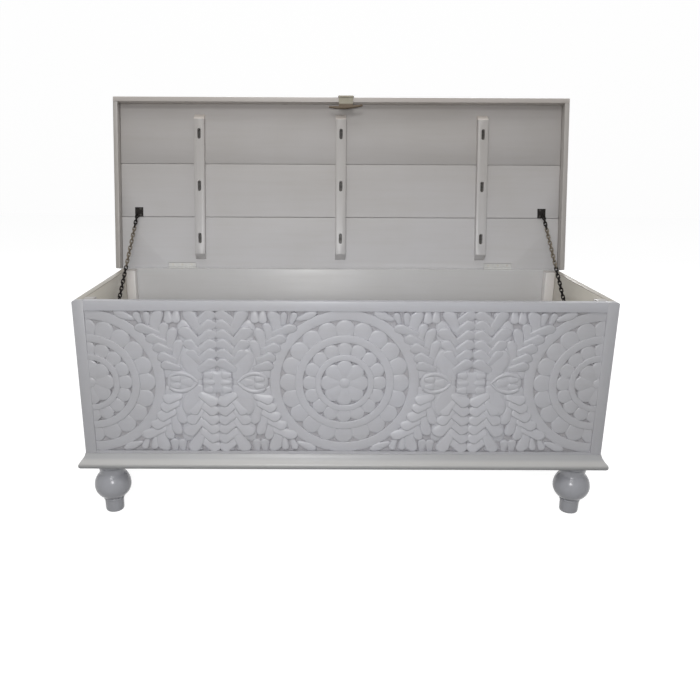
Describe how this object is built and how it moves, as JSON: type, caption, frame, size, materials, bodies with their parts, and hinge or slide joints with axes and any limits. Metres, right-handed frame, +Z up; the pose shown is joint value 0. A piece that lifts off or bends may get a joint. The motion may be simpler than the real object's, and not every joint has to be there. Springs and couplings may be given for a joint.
{
  "type": "carved storage trunk",
  "caption": "Painted wooden blanket trunk with a medallion-carved front, turned bun feet and a hinged lid that leans open on stay chains.",
  "frame": {"origin": "on the floor, midway between the moulding's nose and the open lid's rear edge, and midway along the length", "axes": "+X along the trunk's length to the right seen from the front, +Y from the front to the back, +Z up"},
  "size_m": [1.231, 0.5612, 0.9828],
  "materials": {
    "painted_wood": "off-white paint, semi-gloss",
    "hinge_steel": "dull zinc",
    "black_iron": "black, satin",
    "aged_brass": "aged, dull",
    "dark_bronze": "dark bronze, satin"
  },
  "bodies": {
    "box": {"front_top_rail": "painted_wood", "front_bottom_rail": "painted_wood", "front_left_stile": "painted_wood", "front_right_stile": "painted_wood", "front_carved_panel": "painted_wood", "left_side_board": "painted_wood", "right_side_board": "painted_wood", "back_board": "painted_wood", "floor_board": "painted_wood", "floor_ledger_front": "painted_wood", "floor_ledger_rear": "painted_wood", "base_moulding_front": "painted_wood", "base_moulding_left": "painted_wood", "base_moulding_right": "painted_wood", "corner_post_front_left": "painted_wood", "corner_post_front_right": "painted_wood", "corner_post_rear_left": "painted_wood", "corner_post_rear_right": "painted_wood", "foot_block_front_left": "painted_wood", "foot_block_front_right": "painted_wood", "foot_block_rear_left": "painted_wood", "foot_block_rear_right": "painted_wood", "foot_front_left": "painted_wood", "foot_front_right": "painted_wood", "foot_rear_left": "painted_wood", "foot_rear_right": "painted_wood", "box_hinge_leaf_left": "hinge_steel", "box_hinge_leaf_right": "hinge_steel", "box_fitting_screws": "hinge_steel", "chain_wall_anchor_left": "black_iron", "chain_wall_anchor_right": "black_iron"},
    "lid": {"lid_plank_rear": "painted_wood", "lid_plank_middle": "painted_wood", "lid_plank_front": "painted_wood", "lid_skirt_front": "painted_wood", "lid_skirt_left": "painted_wood", "lid_skirt_right": "painted_wood", "lid_batten_left": "painted_wood", "lid_batten_middle": "painted_wood", "lid_batten_right": "painted_wood", "lid_hinge_leaf_left": "hinge_steel", "lid_hinge_leaf_right": "hinge_steel", "hinge_pin_left": "hinge_steel", "hinge_pin_right": "hinge_steel", "lid_fitting_screws": "hinge_steel", "batten_screws": "hinge_steel", "chain_lid_plate_left": "black_iron", "chain_lid_plate_right": "black_iron", "pull_plate": "aged_brass", "pull_screws": "aged_brass", "pull_pin": "dark_bronze"},
    "pull_handle": {"pull_handle": "dark_bronze"},
    "chain_stretch_1": {"chain_stretch_1": "black_iron"},
    "chain_stretch_2": {"chain_stretch_2": "black_iron"},
    "chain_stretch_3": {"chain_stretch_3": "black_iron"},
    "chain_stretch_4": {"chain_stretch_4": "black_iron"},
    "chain_stretch_5": {"chain_stretch_5": "black_iron"},
    "chain_stretch_6": {"chain_stretch_6": "black_iron"},
    "chain_stretch_7": {"chain_stretch_7": "black_iron"}
  },
  "joints": [
    {"name": "lid_hinge", "type": "hinge", "parent": "box", "child": "lid", "pos_m": [0, 0.16835, 0.5293], "axis": [1, 0, 0], "range_deg": [0, 102]},
    {"name": "pull_swing", "type": "hinge", "parent": "lid", "child": "pull_handle", "pos_m": [0.012, 0.23262, 0.97978], "axis": [1, 0, 0], "range_deg": [-102, 0]},
    {"name": "chain_fold_1", "type": "hinge", "parent": "lid", "child": "chain_stretch_1", "pos_m": [0, 0.1932, 0.67225], "axis": [1, 0, 0], "range_deg": [-30.24, 0]},
    {"name": "chain_fold_2", "type": "hinge", "parent": "chain_stretch_1", "child": "chain_stretch_2", "pos_m": [0, 0.16334, 0.64166], "axis": [1, 0, 0], "range_deg": [0, 115.31]},
    {"name": "chain_fold_3", "type": "hinge", "parent": "chain_stretch_2", "child": "chain_stretch_3", "pos_m": [0, 0.13348, 0.61106], "axis": [1, 0, 0], "range_deg": [-83.18, 0]},
    {"name": "chain_fold_4", "type": "hinge", "parent": "chain_stretch_3", "child": "chain_stretch_4", "pos_m": [0, 0.10362, 0.58046], "axis": [1, 0, 0], "range_deg": [-115.62, 0]},
    {"name": "chain_fold_5", "type": "hinge", "parent": "chain_stretch_4", "child": "chain_stretch_5", "pos_m": [0, 0.07377, 0.54987], "axis": [1, 0, 0], "range_deg": [-32.28, 0]},
    {"name": "chain_fold_6", "type": "hinge", "parent": "chain_stretch_5", "child": "chain_stretch_6", "pos_m": [0, 0.04391, 0.51927], "axis": [1, 0, 0], "range_deg": [-25.35, 0]},
    {"name": "chain_fold_7", "type": "hinge", "parent": "chain_stretch_6", "child": "chain_stretch_7", "pos_m": [0, 0.01405, 0.48867], "axis": [1, 0, 0], "range_deg": [0, 103.89]}
  ],
  "couplings": [
    {"joint": "pull_swing", "follows": "lid_hinge", "ratio": -1},
    {"joint": "chain_fold_1", "follows": "lid_hinge", "ratio": -0.296},
    {"joint": "chain_fold_2", "follows": "lid_hinge", "ratio": 1.13},
    {"joint": "chain_fold_3", "follows": "lid_hinge", "ratio": -0.815},
    {"joint": "chain_fold_4", "follows": "lid_hinge", "ratio": -1.133},
    {"joint": "chain_fold_5", "follows": "lid_hinge", "ratio": -0.316},
    {"joint": "chain_fold_6", "follows": "lid_hinge", "ratio": -0.248},
    {"joint": "chain_fold_7", "follows": "lid_hinge", "ratio": 1.018}
  ]
}
